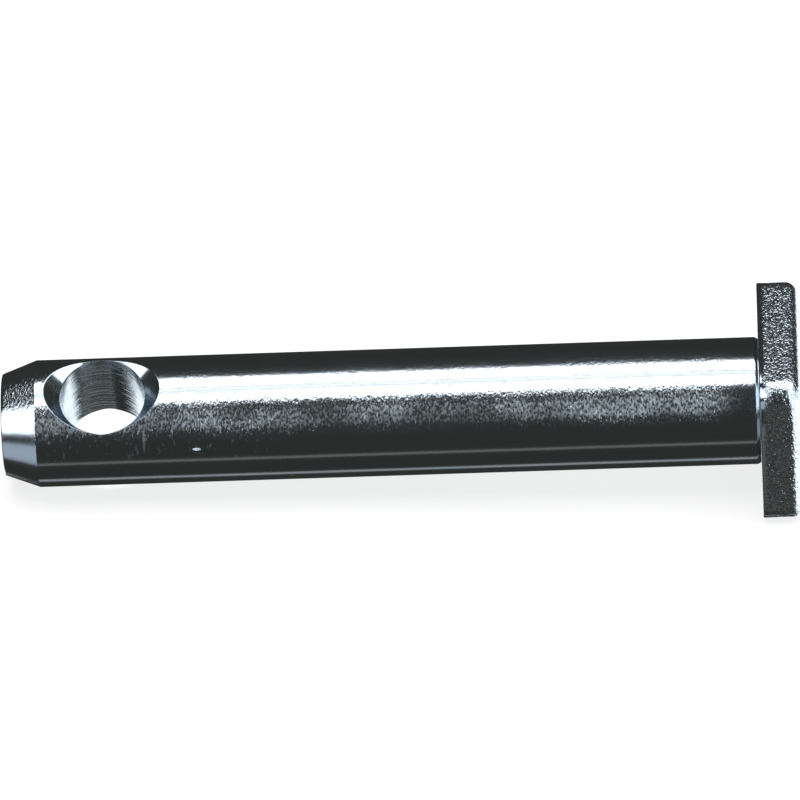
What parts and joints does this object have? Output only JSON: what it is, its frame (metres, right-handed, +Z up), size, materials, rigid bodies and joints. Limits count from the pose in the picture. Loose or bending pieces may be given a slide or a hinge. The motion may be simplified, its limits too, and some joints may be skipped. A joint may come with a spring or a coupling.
{
  "type": "clevis pin",
  "caption": "Round steel clevis pin with a square head, a tapered tip and a large countersunk cross hole near the tip.",
  "frame": {"origin": "middle of the pin's footprint, on the surface it lies on", "axes": "+X along the pin from the tip to the head, +Z up; the pin lies on one flat of its head and on the edge where the tip's taper starts, so the shank's axis slopes down to the tip by 1.99 degrees"},
  "size_m": [0.126, 0.0278, 0.028],
  "materials": {
    "zinc_plate": "bright blue-white zinc plate, glossy on the turned shank and rough on the head's forged sides"
  },
  "bodies": {
    "root": {"clevis_pin": "zinc_plate"}
  },
  "joints": []
}
